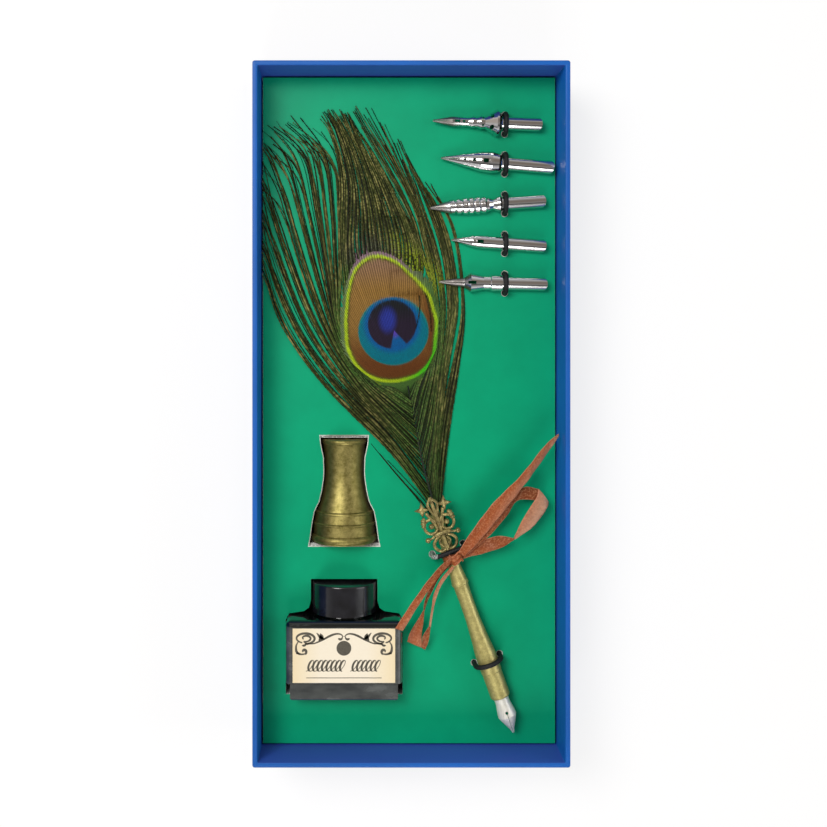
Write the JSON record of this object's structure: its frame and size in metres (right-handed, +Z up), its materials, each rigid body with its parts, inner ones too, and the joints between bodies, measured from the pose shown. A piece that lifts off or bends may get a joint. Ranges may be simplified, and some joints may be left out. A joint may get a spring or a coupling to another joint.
{
  "type": "calligraphy set box",
  "caption": "Open presentation tray with a feather dip pen, spare nibs, a pen stand and an ink bottle held in a green insert card.",
  "frame": {"origin": "centre of the tray's underside", "axes": "+X across the tray, +Y along it towards the spare nibs, +Z up out of the open tray"},
  "size_m": [0.112, 0.249, 0.035],
  "materials": {
    "board": "grey board",
    "blue_paper": "smooth blue covering paper",
    "foam": "grey speckled foam",
    "green_card": "satin green face with a white core",
    "elastic": "black braided elastic cord",
    "nib_steel": "bright plated steel",
    "stand_brass": "dark antique brass",
    "pen_brass": "light antique brass",
    "pen_nib_steel": "pale satin steel",
    "bottle_glass": "clear glass",
    "ink": "black liquid ink",
    "label": "cream label paper",
    "cap_black": "glossy black",
    "liner": "pale sealing disc",
    "satin_ribbon": "copper satin",
    "quill": "brown feather shaft, keratin",
    "barbs": "dark green and bronze feather barbs",
    "eye": "iridescent blue, turquoise and bronze barbs"
  },
  "bodies": {
    "tray": {"tray_board": "board", "tray_wrap": "blue_paper", "floor_lining": "board", "foam_block": "foam"},
    "insert": {"insert_card": "green_card", "nib_loop_1": "elastic", "nib_loop_2": "elastic", "nib_loop_3": "elastic", "nib_loop_4": "elastic", "nib_loop_5": "elastic", "pen_loop_lower": "elastic", "pen_loop_upper": "elastic"},
    "spare_nib_1": {"nib_pierced": "nib_steel"},
    "spare_nib_2": {"nib_leaf": "nib_steel"},
    "spare_nib_3": {"nib_ribbed": "nib_steel"},
    "spare_nib_4": {"nib_fine": "nib_steel"},
    "spare_nib_5": {"nib_shouldered": "nib_steel"},
    "stand": {"pen_stand": "stand_brass"},
    "bottle": {"bottle_glass": "bottle_glass", "ink": "ink", "bottle_label": "label"},
    "liner": {"cap_liner": "liner"},
    "cap": {"bottle_cap": "cap_black"},
    "pen": {"pen_barrel": "pen_brass", "nib_grip": "pen_brass", "ornament": "pen_brass", "ribbon_bow": "satin_ribbon", "feather_quill": "quill", "feather_vane": "barbs", "feather_eye": "eye"},
    "nib": {"pen_nib": "pen_nib_steel"}
  },
  "joints": [
    {"name": "insert_lift", "type": "slide", "parent": "tray", "child": "insert", "axis": [0, 0, 1], "range_m": [0, 0.03]},
    {"name": "stand_lift", "type": "slide", "parent": "tray", "child": "stand", "axis": [0, 0, 1], "range_m": [0, 0.045]},
    {"name": "bottle_lift", "type": "slide", "parent": "tray", "child": "bottle", "axis": [0, 0, 1], "range_m": [0, 0.045], "deforming": ["ribbon_bow"]},
    {"name": "pen_lift", "type": "slide", "parent": "insert", "child": "pen", "axis": [0, 0, 1], "range_m": [0, 0.035], "deforming": ["pen_loop_lower", "pen_loop_upper", "feather_vane"]},
    {"name": "pen_nib_pull", "type": "slide", "parent": "pen", "child": "nib", "axis": [0.3371, -0.9415, 0], "range_m": [0, 0.0055]},
    {"name": "cap_rise", "type": "slide", "parent": "bottle", "child": "liner", "axis": [0, 1, 0], "range_m": [0, 0.0009]},
    {"name": "cap_turn", "type": "hinge", "parent": "liner", "child": "cap", "pos_m": [-0.0238, -0.063, 0.0154], "axis": [0, 1, 0], "range_deg": [0, 100]},
    {"name": "nib_1_slide", "type": "slide", "parent": "insert", "child": "spare_nib_1", "axis": [-0.9993, 0.0384, 0], "range_m": [0, 0.017]},
    {"name": "nib_2_slide", "type": "slide", "parent": "insert", "child": "spare_nib_2", "axis": [-0.9962, 0.0872, 0], "range_m": [0, 0.017]},
    {"name": "nib_3_slide", "type": "slide", "parent": "insert", "child": "spare_nib_3", "axis": [-0.9981, -0.061, 0], "range_m": [0, 0.017]},
    {"name": "nib_4_slide", "type": "slide", "parent": "insert", "child": "spare_nib_4", "axis": [-0.9976, 0.0698, 0], "range_m": [0, 0.017]},
    {"name": "nib_5_slide", "type": "slide", "parent": "insert", "child": "spare_nib_5", "axis": [-0.9997, 0.0227, 0], "range_m": [0, 0.017]}
  ],
  "couplings": [
    {"joint": "cap_rise", "follows": "cap_turn", "m_per_rad": 0.00047746}
  ]
}
